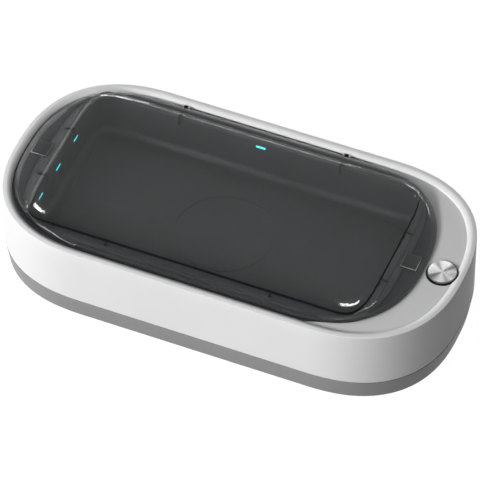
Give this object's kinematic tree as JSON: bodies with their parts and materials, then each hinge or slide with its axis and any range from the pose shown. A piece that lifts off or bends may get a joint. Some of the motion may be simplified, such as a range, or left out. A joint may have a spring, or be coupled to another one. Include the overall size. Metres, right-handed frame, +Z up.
{
  "type": "uv sanitizer box for phones",
  "caption": "Oval phone sanitizer box: white wall on a grey base, smoked hinged lid over a dark lit cavity, one round metal push button.",
  "frame": {"origin": "centre of the footprint, on the surface that the feet stand on", "axes": "+X along the length towards the button, +Y towards the hinge, +Z up"},
  "size_m": [0.2, 0.1006, 0.0422],
  "materials": {
    "white_plastic": "satin white",
    "grey_base_plastic": "matte grey",
    "grey_deck_plastic": "satin grey",
    "dark_liner_plastic": "glossy near black",
    "pad_rubber": "matte near black",
    "smoked_plastic": "glossy, clear, smoked dark grey",
    "spun_aluminium": "spun, with a bright ring at the edge",
    "black_plastic": "satin black",
    "black_rubber": "matte black",
    "plated_steel": "plated",
    "dark_steel": "blackened",
    "magnet": "dark plated",
    "clear_window": "clear",
    "lamp_ceramic": "matte",
    "white_board": "satin white",
    "green_board": "satin green",
    "copper_wire": "copper",
    "ferrite": "matte dark grey"
  },
  "bodies": {
    "case": {"board_screw_1": "plated_steel", "board_screw_2": "plated_steel", "board_screw_3": "plated_steel", "board_screw_4": "plated_steel", "button_bezel": "black_plastic", "button_board": "green_board", "case_screw_1": "plated_steel", "case_screw_2": "plated_steel", "case_screw_3": "plated_steel", "case_screw_4": "plated_steel", "charging_coil": "copper_wire", "charging_pad": "pad_rubber", "coil_holder": "black_plastic", "deck_plate": "grey_deck_plastic", "ferrite_sheet": "ferrite", "foot_1": "black_rubber", "foot_2": "black_rubber", "foot_3": "black_rubber", "foot_4": "black_rubber", "hinge_bracket_left": "dark_steel", "hinge_bracket_right": "dark_steel", "hinge_pin_left": "plated_steel", "hinge_pin_right": "plated_steel", "latch_plate_left": "plated_steel", "latch_plate_right": "plated_steel", "led_board_back": "white_board", "led_board_front": "white_board", "led_board_left": "white_board", "led_board_right": "white_board", "lid_sensor": "black_plastic", "lower_housing": "grey_base_plastic", "main_board": "green_board", "outer_shell": "white_plastic", "switch_body": "black_plastic", "tray_liner": "dark_liner_plastic", "usb_c_port": "plated_steel", "uv_led_back": "lamp_ceramic", "uv_led_front": "lamp_ceramic", "uv_led_left_1": "lamp_ceramic", "uv_led_left_2": "lamp_ceramic", "uv_led_left_3": "lamp_ceramic", "uv_led_right_1": "lamp_ceramic", "uv_led_right_2": "lamp_ceramic", "uv_led_right_3": "lamp_ceramic", "uv_window_back": "clear_window", "uv_window_front": "clear_window", "uv_window_left": "clear_window", "uv_window_right": "clear_window"},
    "lid": {"lid_cover": "smoked_plastic", "lid_seal": "black_rubber", "lid_magnet_left": "magnet", "lid_magnet_right": "magnet"},
    "button": {"button_cap": "spun_aluminium", "switch_plunger": "black_plastic"}
  },
  "joints": [
    {"name": "lid_hinge", "type": "hinge", "parent": "case", "child": "lid", "pos_m": [-0.00635, 0.0452, 0.0378], "axis": [-1, 0, 0], "range_deg": [0, 95]},
    {"name": "button_press", "type": "slide", "parent": "case", "child": "button", "axis": [0, 0, -1], "range_m": [0, 0.0006], "stiffness_N_per_m": 3500, "springref_m": -0.0002}
  ]
}
